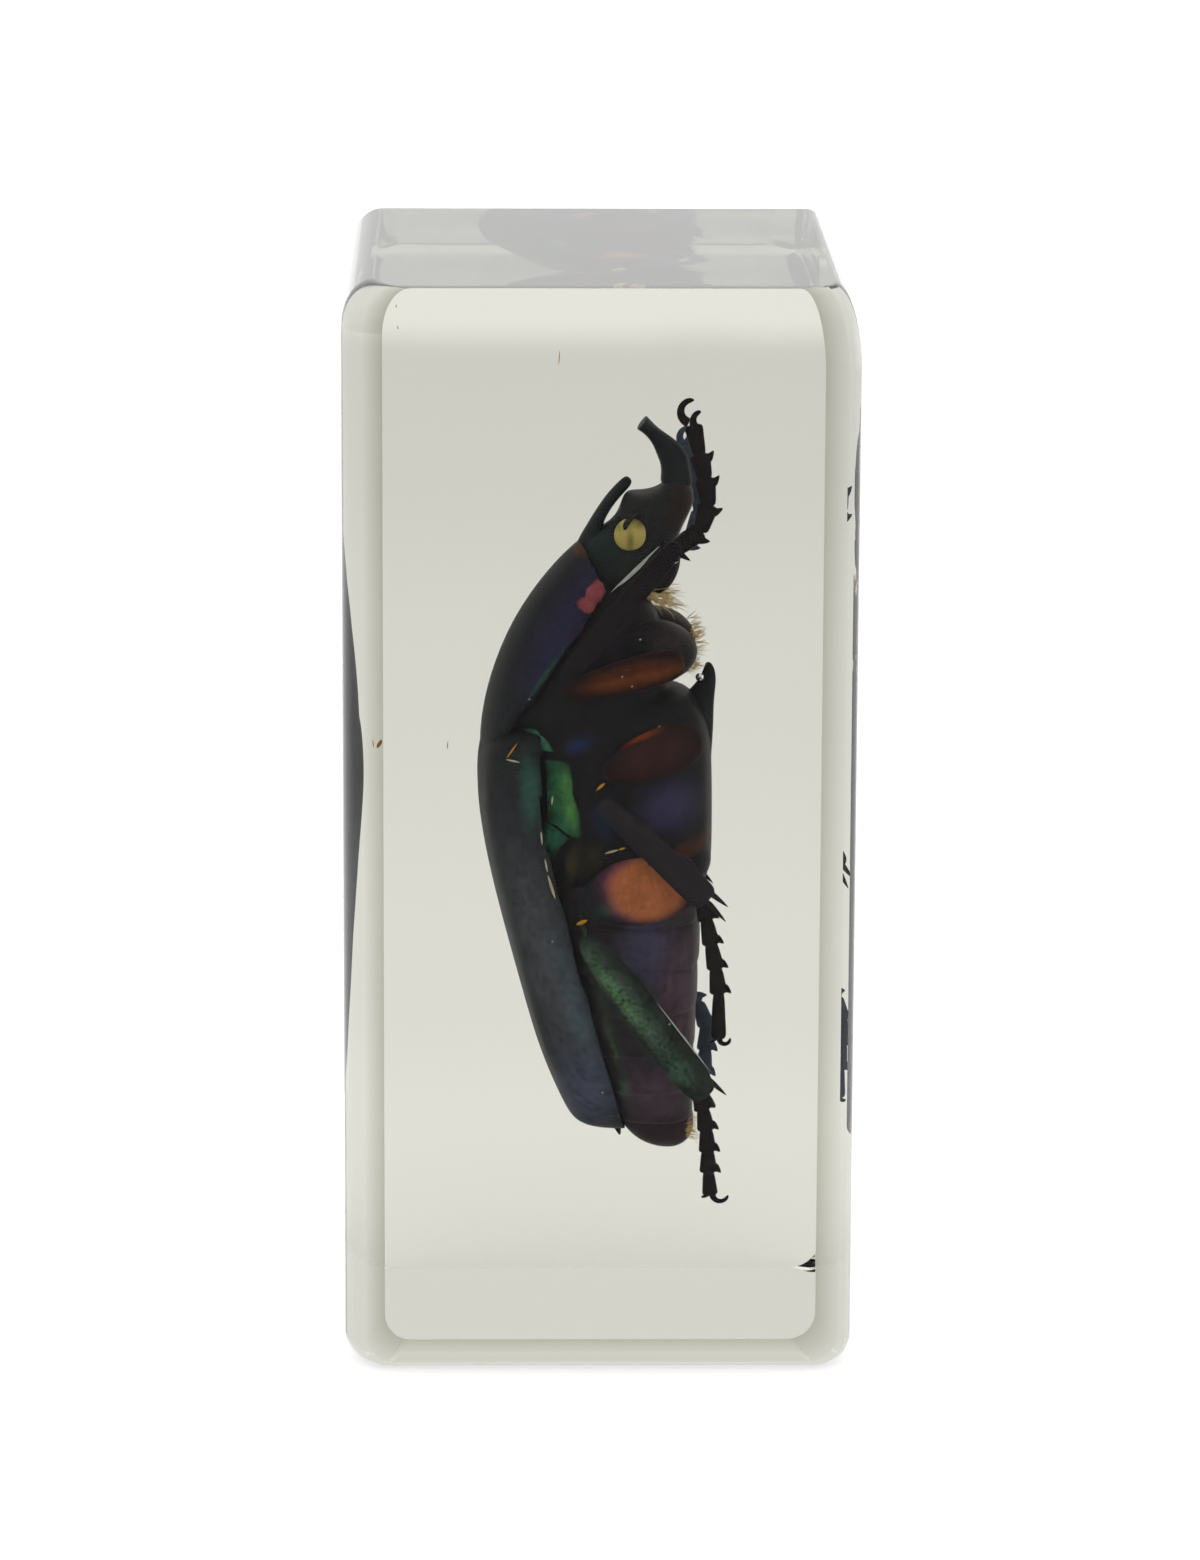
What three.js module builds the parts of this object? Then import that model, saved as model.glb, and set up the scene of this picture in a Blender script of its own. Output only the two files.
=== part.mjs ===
// A beetle paperweight: one block of clear casting resin, about the size of a matchbox, that stands on its end.
// The block is cast in one piece and polished by hand, so each of its corners is rounded a little differently.
// +X is the side that the insect's underside faces, +Y is the back, and +Z is up, along the insect's length.
// The origin is the centre of the underside. All sizes are in millimetres.
import * as THREE from "three";
import { ConvexGeometry } from "three/addons/geometries/ConvexGeometry.js";

const WIDTH = 26; // along X, from the side behind the insect's back to the side before its underside
const DEPTH = 30; // along Y, across the insect
const HEIGHT = 56; // along Z, head to tail
const ROUNDING_STEPS = 6; // steps in each quarter turn of a rounded corner

// How far each corner's rounding reaches along X, Y and Z. Polishing has worn the foot by the right front edge most.
const CORNERS = [
  { side: [-1, -1, -1], reach: [1.6, 1.5, 1.8] },
  { side: [1, -1, -1], reach: [2.2, 1.5, 2.8] },
  { side: [-1, 1, -1], reach: [1.2, 1.2, 1.2] },
  { side: [1, 1, -1], reach: [1.4, 1.2, 1.4] },
  { side: [-1, -1, 1], reach: [1.5, 1.5, 1.5] },
  { side: [1, -1, 1], reach: [2.0, 1.5, 2.0] },
  { side: [-1, 1, 1], reach: [1.6, 1.2, 1.6] },
  { side: [1, 1, 1], reach: [1.4, 1.2, 1.4] },
];

// The points of one rounded corner: an eighth of an ellipsoid that touches the three faces that meet there.
function cornerPoints({ side, reach }) {
  const corner = new THREE.Vector3((side[0] * WIDTH) / 2, (side[1] * DEPTH) / 2, side[2] > 0 ? HEIGHT : 0);
  const inwards = new THREE.Vector3(...side.map((way, axis) => -way * reach[axis]));
  const centre = corner.clone().add(inwards);
  const points = [];
  for (let up = 0; up <= ROUNDING_STEPS; up++) {
    const rise = (up / ROUNDING_STEPS) * (Math.PI / 2);
    const turns = up === ROUNDING_STEPS ? 0 : ROUNDING_STEPS; // the pole is a single point
    for (let turn = 0; turn <= turns; turn++) {
      const angle = (turn / ROUNDING_STEPS) * (Math.PI / 2);
      const way = new THREE.Vector3(
        Math.cos(rise) * Math.cos(angle),
        Math.cos(rise) * Math.sin(angle),
        Math.sin(rise),
      );
      points.push(centre.clone().sub(way.multiply(inwards)));
    }
  }
  return points;
}

// The clear block: the tight skin round its eight rounded corners.
function resinBlock() {
  const geometry = new ConvexGeometry(CORNERS.flatMap(cornerPoints));
  const resin = new THREE.MeshStandardMaterial({ color: 0xdde0d6, roughness: 0.03, metalness: 0 });
  resin.transparent = true;
  resin.opacity = 0.25;
  const block = new THREE.Mesh(geometry, resin);
  block.name = "resin_block";
  return block;
}

const paperweight = new THREE.Group();
paperweight.add(resinBlock());

export default paperweight;
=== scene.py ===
import math
import random

import bmesh
import bpy
from mathutils import Matrix, Vector


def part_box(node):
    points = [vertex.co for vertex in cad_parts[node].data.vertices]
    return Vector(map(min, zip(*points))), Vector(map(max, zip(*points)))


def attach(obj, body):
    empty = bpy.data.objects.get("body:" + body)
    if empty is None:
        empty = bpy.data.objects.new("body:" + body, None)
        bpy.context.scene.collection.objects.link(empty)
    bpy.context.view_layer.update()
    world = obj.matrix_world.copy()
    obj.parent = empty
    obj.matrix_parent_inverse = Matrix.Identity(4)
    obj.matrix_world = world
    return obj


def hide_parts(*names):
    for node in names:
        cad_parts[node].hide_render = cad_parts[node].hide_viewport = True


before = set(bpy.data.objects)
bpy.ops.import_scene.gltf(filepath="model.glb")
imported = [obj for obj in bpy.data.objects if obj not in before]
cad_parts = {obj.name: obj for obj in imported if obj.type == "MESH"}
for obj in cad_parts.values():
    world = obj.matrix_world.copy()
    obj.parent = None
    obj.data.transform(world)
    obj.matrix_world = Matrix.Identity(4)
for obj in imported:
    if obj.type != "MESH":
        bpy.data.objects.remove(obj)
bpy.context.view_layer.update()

# --------------------
# The camera. It looks down a little on the block's narrow front side, through a long lens from about a third
# of a metre away, so that the block's upright edges stay nearly parallel.
MM = 0.001
CAMERA_PLACE = Vector((-6.2, -341.9, 104.1)) * MM
CAMERA_PITCH = math.radians(12.58)
CAMERA_YAW = math.radians(1.08)
CAMERA_ROLL = math.radians(0.24)
CAMERA_LENS = 154.2

bpy.ops.object.select_all(action="DESELECT")
bpy.ops.object.camera_add(location=CAMERA_PLACE)
camera = bpy.context.object
camera.name = "camera"
turned = Matrix.Rotation(-CAMERA_YAW, 3, "Z") @ Matrix.Rotation(math.pi / 2 - CAMERA_PITCH, 3, "X")
camera.rotation_euler = (turned @ Matrix.Rotation(CAMERA_ROLL, 3, "Z")).to_euler()
camera.data.lens = CAMERA_LENS
camera.data.sensor_width = 36
camera.data.clip_start = 10 * MM
bpy.context.scene.camera = camera

# --------------------
# The floor. A wide sheet of opal acrylic with a painted glow, which the block's shadow does not darken. The block
# stands on it with a hair's breadth of air between them. Painted light and shade in broad rings make it whitest in
# the middle and far out, and duller between.
FLOOR_SIZE = 4.0
AIR_UNDER_BLOCK = 0.06 * MM
# Painted light and shade: rings of paint and glow, brightest in the middle and far out, duller between.
OPAL_PAINTED_LIGHT_RINGS = [
    (0.0, "#fafaf9"), (0.04, "#f5f5f4"), (0.075, "#ededec"), (0.17, "#e5e5e4"), (0.27, "#dddddc"),
    (0.33, "#dbdbda"), (0.358, "#f6f6f5"),
]
OPAL_WHITENESS = 0.55
OPAL_PAINTED_GLOW = 0.65


def hex_to_linear(code):
    """A colour written as sRGB hex, as the linear red, green, blue and alpha that the shaders take."""
    parts = [int(code[i : i + 2], 16) / 255 for i in (1, 3, 5)]
    return tuple(p / 12.92 if p <= 0.04045 else ((p + 0.055) / 1.055) ** 2.4 for p in parts) + (1.0,)


def add_node(tree, kind, sockets=None, **settings):
    """Adds a shader node with its settings, and gives each named input a value or a link."""
    node = tree.nodes.new("ShaderNode" + kind)
    for name, value in settings.items():
        setattr(node, name, value)
    for name, value in (sockets or {}).items():
        if isinstance(value, bpy.types.NodeSocket):
            tree.links.new(value, node.inputs[name])
        else:
            node.inputs[name].default_value = value
    return node


def new_material(name):
    """An empty material, as (material, node tree, its Object coordinates)."""
    material = bpy.data.materials.new(name)
    material.use_nodes = True
    tree = material.node_tree
    tree.nodes.clear()
    return material, tree, add_node(tree, "TexCoord").outputs["Object"]


def opal_with_painted_light():
    """Opal acrylic: nearly white and matt, with a painted glow in broad rings of painted light and shade."""
    material, tree, place = new_material("opal acrylic, lit from below")
    distance = add_node(tree, "VectorMath", {0: place}, operation="LENGTH")
    reach = OPAL_PAINTED_LIGHT_RINGS[-1][0]
    share = add_node(tree, "Math", {0: distance.outputs["Value"], 1: reach}, operation="DIVIDE")
    ramp = add_node(tree, "ValToRGB", {"Fac": share.outputs["Value"]})
    ramp.color_ramp.interpolation = "EASE"
    for number, (radius, code) in enumerate(OPAL_PAINTED_LIGHT_RINGS):
        stops = ramp.color_ramp.elements
        stop = stops[number] if number < 2 else stops.new(radius / reach)
        stop.position = radius / reach
        stop.color = hex_to_linear(code)
    colour = ramp.outputs["Color"]
    body = add_node(tree, "VectorMath", {0: colour, "Scale": OPAL_WHITENESS}, operation="SCALE")
    shader = add_node(tree, "BsdfPrincipled", {
        "Base Color": body.outputs[0], "Roughness": 0.9, "Specular IOR Level": 0.1,
        "Emission Color": colour, "Emission Strength": OPAL_PAINTED_GLOW,
    })
    add_node(tree, "OutputMaterial", {"Surface": shader.outputs["BSDF"]})
    return material


bpy.ops.object.select_all(action="DESELECT")
bpy.ops.mesh.primitive_plane_add(size=FLOOR_SIZE, location=(0, 0, -AIR_UNDER_BLOCK))
floor = bpy.context.object
floor.name = "floor"
bpy.ops.object.transform_apply()
floor.data.materials.append(opal_with_painted_light())

# --------------------
# The light. A white tent stands all round, a little duller low down than overhead, and one wide soft panel
# hangs above.
TENT_STRENGTH = 1.34
TENT_LOW = "#ebebea"
TENT_LOW_END = 0.36
TENT_WHITE_START = 0.6
PANEL_SIZE = 1.6
PANEL_HEIGHT = 1.3
PANEL_WATTS = 3.0

world = bpy.data.worlds.new("white light tent")
bpy.context.scene.world = world
world.use_nodes = True
sky = world.node_tree
sky.nodes.clear()
heading = add_node(sky, "TexCoord")
height = add_node(sky, "SeparateXYZ", {0: heading.outputs["Generated"]})
cloth = add_node(sky, "ValToRGB", {"Fac": height.outputs["Z"]})
cloth.color_ramp.elements[0].position = TENT_LOW_END
cloth.color_ramp.elements[0].color = hex_to_linear(TENT_LOW)
cloth.color_ramp.elements[1].position = TENT_WHITE_START
cloth.color_ramp.elements[1].color = (1, 1, 1, 1)
tent = add_node(sky, "Background", {"Color": cloth.outputs["Color"], "Strength": TENT_STRENGTH})
add_node(sky, "OutputWorld", {"Surface": tent.outputs["Background"]})
bpy.ops.object.light_add(type="AREA", location=(0, 0.2, PANEL_HEIGHT))
panel = bpy.context.object
panel.name = "soft_panel"
panel.data.shape = "SQUARE"
panel.data.size = PANEL_SIZE
panel.data.energy = PANEL_WATTS

scene = bpy.context.scene
scene.view_settings.view_transform = "Standard"
scene.cycles.use_denoising = True
# Guided by surface directions as well, the denoiser leaves more dots on the resin's sides.
scene.cycles.denoising_input_passes = "RGB_ALBEDO"
scene.cycles.max_bounces = 24
scene.cycles.transmission_bounces = 24
scene.cycles.glossy_bounces = 12
scene.cycles.transparent_max_bounces = 16
scene.cycles.sample_clamp_indirect = 8.0

# --------------------
# The resin block. Polyester casting resin poured round the beetle in a mould with soft edges. The open side,
# now the front, was ground flat and polished, which left a crisp line round it. An air bubble is caught inside.
CORNERS = {
    # which side and end, how far the corner is eased across, and how far up or down
    (-1, -1): (1.5, 1.4), (1, -1): (1.7, 1.5), (-1, 1): (1.7, 2.4), (1, 1): (1.5, 4.4),
}
CORNER_STEPS = 12
BLOCK_RINGS = [
    # depth, then how far the ring is in from the block's left, right, bottom and top
    (15.00, 0.80, 0.80, 0.00, 0.55), (14.90, 0.68, 0.68, 0.00, 0.42), (14.35, 0.12, 0.12, 0.00, 0.05),
    (14.20, 0.00, 0.00, 0.00, 0.00), (-11.47, 0.00, 0.00, 0.00, 0.00), (-11.89, 0.02, 0.00, 0.00, 0.00),
    (-12.44, 0.12, 0.01, 0.00, 0.00), (-12.97, 0.29, 0.05, 0.00, 0.00), (-13.47, 0.54, 0.16, 0.01, 0.00),
    (-13.93, 0.85, 0.38, 0.12, 0.00), (-14.34, 1.22, 0.76, 0.45, 0.00), (-14.70, 1.65, 1.40, 1.12, 0.01),
    (-15.00, 2.12, 1.95, 1.90, 0.02),
]
# Painted shade: a grey tint over the rounded rim round the front face.
EDGE_PAINTED_SHADE = "#b4b3a6"
EDGE_PAINTED_SHADE_DEPTH = 0.8
EDGE_PAINTED_SHADE_START = 0.004
EDGE_PAINTED_SHADE_FULL = 0.02
BUBBLE_PLACE = Vector((5.2, -2.0, 34.7)) * MM
BUBBLE_RADIUS = 0.21 * MM
RESIN_IOR = 1.55
RESIN_GLOSS = (0.15, 0.15, 0.15, 1.0)
RESIN_TINT = (0.24, 0.24, 0.11, 1.0)
RESIN_DENSITY = 23.0


def cast_resin():
    """Polyester casting resin, polished: clear, faintly yellow-grey through its depth, with a wet gloss."""
    material, tree, place = new_material("polyester casting resin, hand polished")
    # Buffing leaves faint waves about 9 mm long, which bend what shows in and through the faces a little.
    ripple = add_node(tree, "TexNoise", {"Vector": place, "Scale": 110.0, "Detail": 1.0})
    bump = add_node(tree, "Bump", {"Height": ripple.outputs["Fac"], "Strength": 0.02, "Distance": MM})
    # Round the ground face the rim is darkened by a grey tint, painted shade for the darker surroundings seen
    # through it there. The tint fades with depth.
    depth_along = add_node(tree, "SeparateXYZ", {0: place})
    face_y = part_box("resin_block")[0].y
    behind_face = add_node(tree, "MapRange", {
        "Value": depth_along.outputs["Y"], "From Min": face_y, "From Max": face_y + EDGE_PAINTED_SHADE_DEPTH * MM,
    })
    rim_painted_shade = add_node(tree, "ValToRGB", {"Fac": behind_face.outputs["Result"]})
    rim_painted_shade.color_ramp.elements[0].position = EDGE_PAINTED_SHADE_START
    rim_painted_shade.color_ramp.elements[0].color = (1, 1, 1, 1)
    rim_painted_shade.color_ramp.elements[1].color = (1, 1, 1, 1)
    rim_painted_shade.color_ramp.elements.new(EDGE_PAINTED_SHADE_FULL).color = hex_to_linear(EDGE_PAINTED_SHADE)
    shader = add_node(tree, "BsdfPrincipled", {
        "Base Color": rim_painted_shade.outputs["Color"], "Normal": bump.outputs["Normal"], "Roughness": 0.0,
        "IOR": RESIN_IOR, "Transmission Weight": 1.0, "Specular Tint": RESIN_GLOSS,
    })
    depth = add_node(tree, "VolumeAbsorption", {"Color": RESIN_TINT, "Density": RESIN_DENSITY})
    add_node(tree, "OutputMaterial", {
        "Surface": shader.outputs["BSDF"], "Volume": depth.outputs["Volume"],
    })
    return material


def pick(piece):
    """Selects that piece alone and makes it active."""
    bpy.ops.object.select_all(action="DESELECT")
    piece.select_set(True)
    bpy.context.view_layer.objects.active = piece


def open_mesh(piece):
    """Picks the piece and opens its mesh in edit mode, all of it selected."""
    pick(piece)
    bpy.ops.object.mode_set(mode="EDIT")
    bpy.ops.mesh.select_all(action="SELECT")


def apply_modifier(piece, kind, **settings):
    """Adds one modifier to the piece, sets it, and applies it."""
    pick(piece)
    modifier = piece.modifiers.new(kind.lower(), kind)
    for name, value in settings.items():
        setattr(modifier, name, value)
    bpy.ops.object.modifier_apply(modifier=modifier.name)


def join(name, pieces):
    """Joins like pieces into one object of that name."""
    bpy.ops.object.select_all(action="DESELECT")
    for piece in pieces:
        piece.select_set(True)
    bpy.context.view_layer.objects.active = pieces[0]
    if len(pieces) > 1:
        bpy.ops.object.join()
    pieces[0].name = name
    pieces[0].data.name = name
    return pieces[0]


def select_where(piece, wanted):
    """In edit mode, selects the vertices that wanted says yes to, by their place in millimetres."""
    bpy.ops.mesh.select_mode(type="VERT")
    bpy.ops.mesh.select_all(action="DESELECT")
    mesh = bmesh.from_edit_mesh(piece.data)
    for vertex in mesh.verts:
        vertex.select_set(bool(wanted(vertex.co / MM)))
    mesh.select_flush(True)
    bmesh.update_edit_mesh(piece.data)


block_low, block_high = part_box("resin_block")
block_size = block_high - block_low
bpy.ops.object.select_all(action="DESELECT")
bpy.ops.mesh.primitive_plane_add(size=1, rotation=(math.pi / 2, 0, 0))
block = bpy.context.object
block.scale = (block_size.x, block_size.z, 1)
block.location = ((block_low.x + block_high.x) / 2, block_high.y, (block_low.z + block_high.z) / 2)
bpy.ops.object.transform_apply()
bpy.ops.object.mode_set(mode="EDIT")
for (side, end), (across, along) in CORNERS.items():
    corner_x = (block_low.x if side < 0 else block_high.x) / MM
    corner_z = (block_low.z if end < 0 else block_high.z) / MM
    select_where(block, lambda p: abs(p.x - corner_x) < 0.01 and abs(p.z - corner_z) < 0.01)
    bpy.ops.mesh.bevel(offset=across * MM, segments=CORNER_STEPS, affect="VERTICES")
    select_where(block, lambda p: abs(p.x - corner_x) < across + 0.01 and abs(p.z - corner_z) < across + 0.01)
    bpy.ops.transform.resize(value=(1, 1, along / across), center_override=(0, 0, corner_z * MM))
bpy.ops.mesh.select_all(action="SELECT")
width, height, centre = block_size.x, block_size.z, Vector((0, block_high.y, block_size.z / 2))
for number, (depth, left, right, bottom, top) in enumerate(BLOCK_RINGS):
    if number:
        bpy.ops.mesh.extrude_region_move()
    new_width = block_size.x - (left + right) * MM
    new_height = block_size.z - (bottom + top) * MM
    place = Vector(((left - right) / 2 * MM, depth * MM, (block_size.z + (bottom - top) * MM) / 2))
    bpy.ops.transform.translate(value=place - centre)
    bpy.ops.transform.resize(value=(new_width / width, 1, new_height / height), center_override=place)
    width, height, centre = new_width, new_height, place
bpy.ops.object.mode_set(mode="OBJECT")
bpy.ops.object.shade_smooth_by_angle(angle=math.radians(14))
apply_modifier(block, "WEIGHTED_NORMAL", mode="FACE_AREA", weight=100, keep_sharp=True)

bpy.ops.object.select_all(action="DESELECT")
bpy.ops.mesh.primitive_ico_sphere_add(subdivisions=4, radius=BUBBLE_RADIUS, location=BUBBLE_PLACE)
bubble = bpy.context.object
bpy.ops.object.shade_smooth()
open_mesh(bubble)
bpy.ops.mesh.flip_normals()
bpy.ops.object.mode_set(mode="OBJECT")
block = join("cast_resin_block", [block, bubble])
block.data.materials.append(cast_resin())
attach(block, "root")
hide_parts("resin_block")

# --------------------
# The hind thorax. One stiff box of chitin that carries the wings and the middle and hind legs. Its underside
# is a broad breastplate, blue-purple in the light, whose front edge runs out into a thorn between the legs.
BREAST_RINGS = [
    # x, z, half depth, half width, and a tilt where there is one
    (1.1, 34.2, 3.3, 4.2), (0.75, 33.4, 4.5, 5.6), (0.55, 32.2, 5.25, 6.5), (0.47, 30.5, 5.47, 6.9),
    (0.47, 28.0, 5.52, 7.0), (0.6, 25.9, 5.4, 6.8), (0.92, 24.4, 5.02, 6.2), (1.2, 23.2, 4.2, 5.5),
]
THORN_RINGS = [
    (3.6, 26.6, 2.15, 2.60), (3.95, 29.5, 1.95, 2.40), (4.5, 31.9, 1.55, 1.80), (4.9, 33.0, 1.12, 1.30),
    (5.35, 33.7, 0.72, 0.85), (5.65, 34.3, 0.47, 0.60), (5.74, 34.85, 0.31, 0.42), (5.68, 35.25, 0.14, 0.20),
]


def grow(name, rings, sides=24, fullness=1.0):
    """Extrudes a filled circle from ring to ring. A ring is x, y, z, half sizes in x and y, and tilt to +X.
    A fullness over 1 pushes the circle's four shoulders out, which squares the section a little."""
    bpy.ops.object.select_all(action="DESELECT")
    bpy.ops.mesh.primitive_circle_add(vertices=sides, radius=MM, fill_type="NGON")
    piece = bpy.context.object
    piece.name = name
    bpy.ops.object.mode_set(mode="EDIT")
    if fullness != 1.0:
        select_where(piece, lambda p: abs(p.x) > 0.45 and abs(p.y) > 0.45)
        bpy.ops.transform.resize(value=(fullness, fullness, 1), center_override=(0, 0, 0))
    bpy.ops.mesh.select_all(action="SELECT")
    across, tilt, centre = (1.0, 1.0), 0.0, Vector((0, 0, 0))
    for number, (x, y, z, half_x, half_y, lean) in enumerate(rings):
        if number:
            bpy.ops.mesh.extrude_region_move()
        place = Vector((x, y, z)) * MM
        bpy.ops.transform.translate(value=place - centre)
        bpy.ops.transform.rotate(value=math.radians(tilt), orient_axis="Y", center_override=place)
        bpy.ops.transform.resize(value=(half_x / across[0], half_y / across[1], 1), center_override=place)
        bpy.ops.transform.rotate(value=-math.radians(lean), orient_axis="Y", center_override=place)
        across, tilt, centre = (half_x, half_y), lean, place
    bpy.ops.mesh.select_all(action="SELECT")
    bpy.ops.mesh.normals_make_consistent()
    bpy.ops.object.mode_set(mode="OBJECT")
    return piece


def body_rings(rings):
    """Rings on the beetle's own line, where y is nought, from (x, z, half depth, half width, tilt if any)."""
    return [(x, 0, z, deep, wide, *(tilt or [0])) for x, z, deep, wide, *tilt in rings]


def smooth(piece, levels=2):
    """Rounds a grown skin by subdivision and shades it smooth."""
    apply_modifier(piece, "SUBSURF", levels=levels, render_levels=levels)
    bpy.ops.object.shade_smooth()
    return piece


def body_piece(name, rings, **shape):
    """A rounded piece that lies on the beetle's own line."""
    return smooth(grow(name, body_rings(rings), **shape))


def add_patch(tree, place, colour, patch, inner, outer, strength=1.0):
    """Lays a patch over a colour. A patch is x, z, half sizes, turn about y and colour. It is full up to the
    inner share of its half sizes, and gone at the outer."""
    x, z, half_x, half_z, turn, code = patch
    local = add_node(tree, "Mapping", {
        "Vector": place, "Location": Vector((x, 0, z)) * MM, "Rotation": (0, math.radians(turn), 0),
        "Scale": Vector((half_x, 200, half_z)) * MM,
    }, vector_type="TEXTURE")
    reach = add_node(tree, "VectorMath", {0: local.outputs["Vector"]}, operation="LENGTH")
    mask = add_node(tree, "MapRange", {
        "Value": reach.outputs["Value"], "From Min": inner, "From Max": outer, "To Min": strength, "To Max": 0.0,
    }, interpolation_type="SMOOTHSTEP")
    blend = add_node(tree, "Mix", {
        "Factor": mask.outputs["Result"], "A": colour, "B": hex_to_linear(code),
    }, data_type="RGBA")
    return blend.outputs["Result"]


def chitin(name, ground, patches=(), grain_mm=0.14, rough_mm=0.003, mottle=0.3, drift_mm=0.3):
    """Beetle chitin under resin: near black, coloured by fine layers, so its colours sit in soft-edged
    patches. Resin takes nearly all of its gloss. Each patch here ends with how soft its edge is."""
    material, tree, place = new_material(name)
    # The layers drift in thickness over about a millimetre, which breaks the patches' edges up.
    drift = add_node(tree, "TexNoise", {
        "Vector": place, "Scale": 900.0, "Detail": 4.0, "Roughness": 0.6,
    })
    centred = {0: drift.outputs["Color"], 1: (0.5, 0.5, 0.5)}
    spread = add_node(tree, "VectorMath", centred, operation="SUBTRACT")
    scaled = {0: spread.outputs[0], 1: (drift_mm * 2 * MM,) * 3}
    shifted = add_node(tree, "VectorMath", scaled, operation="MULTIPLY")
    nudged = add_node(tree, "VectorMath", {0: place, 1: shifted.outputs[0]}, operation="ADD")
    colour = hex_to_linear(ground)
    for *patch, softness in patches:
        colour = add_patch(tree, nudged.outputs[0], colour, patch, 1.0 - softness, 1.0 + softness * 0.4)
    # Fine pale and dark grains, about twice as wide as the pits, and slower shading over them.
    grains = add_node(tree, "TexNoise", {"Vector": place, "Scale": 0.5 / (grain_mm * MM)})
    clouds = {0: drift.outputs["Fac"], 1: grains.outputs["Fac"]}
    both = add_node(tree, "Math", clouds, operation="ADD")
    shade = add_node(tree, "MapRange", {
        "Value": both.outputs["Value"], "From Min": 0.6, "From Max": 1.4, "To Min": 1.0 - mottle,
        "To Max": 1.0 + mottle,
    })
    varied = add_node(tree, "VectorMath", {
        0: colour[:3] if isinstance(colour, tuple) else colour, 1: shade.outputs["Result"],
    }, operation="MULTIPLY")
    # The skin is pricked all over with shallow pits, each about as wide as the grain given.
    pits = add_node(tree, "TexVoronoi", {"Vector": place, "Scale": 1.0 / (grain_mm * MM)})
    bump = add_node(tree, "Bump", {"Height": pits.outputs["Distance"], "Distance": rough_mm * MM})
    shader = add_node(tree, "BsdfPrincipled", {
        "Base Color": varied.outputs[0], "Normal": bump.outputs["Normal"], "IOR": 1.08, "Roughness": 0.4,
    })
    add_node(tree, "OutputMaterial", {"Surface": shader.outputs["BSDF"]})
    return material


def settle(piece, material):
    """Gives a finished piece its material, and fixes it in the block."""
    piece.data.materials.clear()
    piece.data.materials.append(material)
    piece.data.name = piece.name
    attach(piece, "root")


breast_chitin = chitin(
    "breastplate chitin, blue-purple", "#1f1e21",
    [
        (3.6, 28.4, 1.8, 1.5, -10, "#3a3656", 0.9), (4.6, 26.0, 1.6, 0.6, -25, "#4a2820", 0.9),
        (0.4, 28.0, 0.7, 1.2, 8, "#1f2c46", 0.9), (-1.0, 31.7, 0.8, 0.4, -20, "#1d2a50", 0.9),
        (-0.6, 25.6, 1.2, 1.2, 0, "#2b2a1f", 0.8), (-1.4, 25.2, 0.35, 1.1, 8, "#45402a", 0.9),
    ],
    mottle=0.4,
)
breast = body_piece("hind_thorax", BREAST_RINGS, fullness=1.06)
thorn = body_piece("breast_thorn", THORN_RINGS, sides=12)
settle(breast, breast_chitin)
settle(thorn, chitin("breast thorn chitin", "#222627", grain_mm=0.2))

# --------------------
# The side plates. Three small plates of bright green chitin lie on each flank, between the wing case and the
# breast, with dark seams between them. Each is a patch of the thorax's own skin, slightly thicker.
PLATE_THICKNESS = 0.18
FLANK_PLATES = {
    # A point on each edge, and the direction that is cut away there.
    "front_flank_plate": [
        ((-4.2, 0, 32.0), (-1, 0, 0)), ((-2.6, 0, 31.8), (0.75, 0, 0.66)), ((0, 0, 31.1), (-0.1, 0, -1)),
    ],
    "long_flank_plate": [
        ((-2.55, 0, 29), (-1, 0, -0.02)), ((-1.3, 0, 29.6), (1, 0, 0.17)), ((0, 0, 30.6), (0.1, 0, 1)),
        ((-1.9, 0, 27.35), (-0.55, 0, -0.83)), ((0, 0, 27.0), (0, 0, -1)),
    ],
    "rear_flank_plate": [
        ((-2.75, 0, 27), (-1, 0, 0)), ((-2.0, 0, 27.25), (0.55, 0, 0.83)), ((-1.8, 0, 26.5), (0.8, 0, -0.6)),
    ],
}
green_chitin = chitin(
    "flank chitin, bright green", "#173028",
    [
        (-3.1, 31.8, 1.3, 0.8, 45, "#3a7460", 0.7), (-1.9, 28.8, 0.9, 2.4, -6, "#2f6642", 0.8),
        (-1.5, 28.9, 0.42, 1.9, -9, "#4f8846", 0.9), (-2.25, 26.95, 0.8, 0.9, 0, "#2f7054", 0.8),
    ],
    mottle=0.5, drift_mm=0.12,
)


def copy_of(piece, name):
    """A copy of a piece with a mesh of its own."""
    twin = piece.copy()
    twin.data = piece.data.copy()
    twin.name = name
    bpy.context.scene.collection.objects.link(twin)
    return twin


def trim(planes):
    """In edit mode, cuts what is selected along planes, each a point and the direction cut away."""
    for point, away in planes:
        away = Vector(away).normalized()
        bpy.ops.mesh.bisect(plane_co=Vector(point) * MM, plane_no=away, clear_outer=True)
        bpy.ops.mesh.select_all(action="SELECT")


def thicken(piece, thickness, outwards):
    """Gives a trimmed skin its wall and eases its rim."""
    growth = 1 if outwards else -1
    apply_modifier(piece, "SOLIDIFY", thickness=thickness * MM, offset=growth, use_even_offset=True)
    apply_modifier(piece, "BEVEL", width=0.25 * thickness * MM, segments=2, angle_limit=math.radians(50))
    bpy.ops.object.shade_smooth_by_angle(angle=math.radians(50))
    return piece


def cut_out(whole, name, planes, thickness, outwards=True):
    """A copy of a skin, trimmed by planes and thickened."""
    piece = copy_of(whole, name)
    piece.parent = None
    open_mesh(piece)
    trim(planes)
    bpy.ops.object.mode_set(mode="OBJECT")
    return thicken(piece, thickness, outwards)


for plate_name, planes in FLANK_PLATES.items():
    for side, away in (("right", 1), ("left", -1)):
        flank = [((0, -away * 1.5, 0), (0, away, 0))]
        plate = cut_out(breast, f"{plate_name}_{side}", planes + flank, PLATE_THICKNESS)
        settle(plate, green_chitin)

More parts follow.
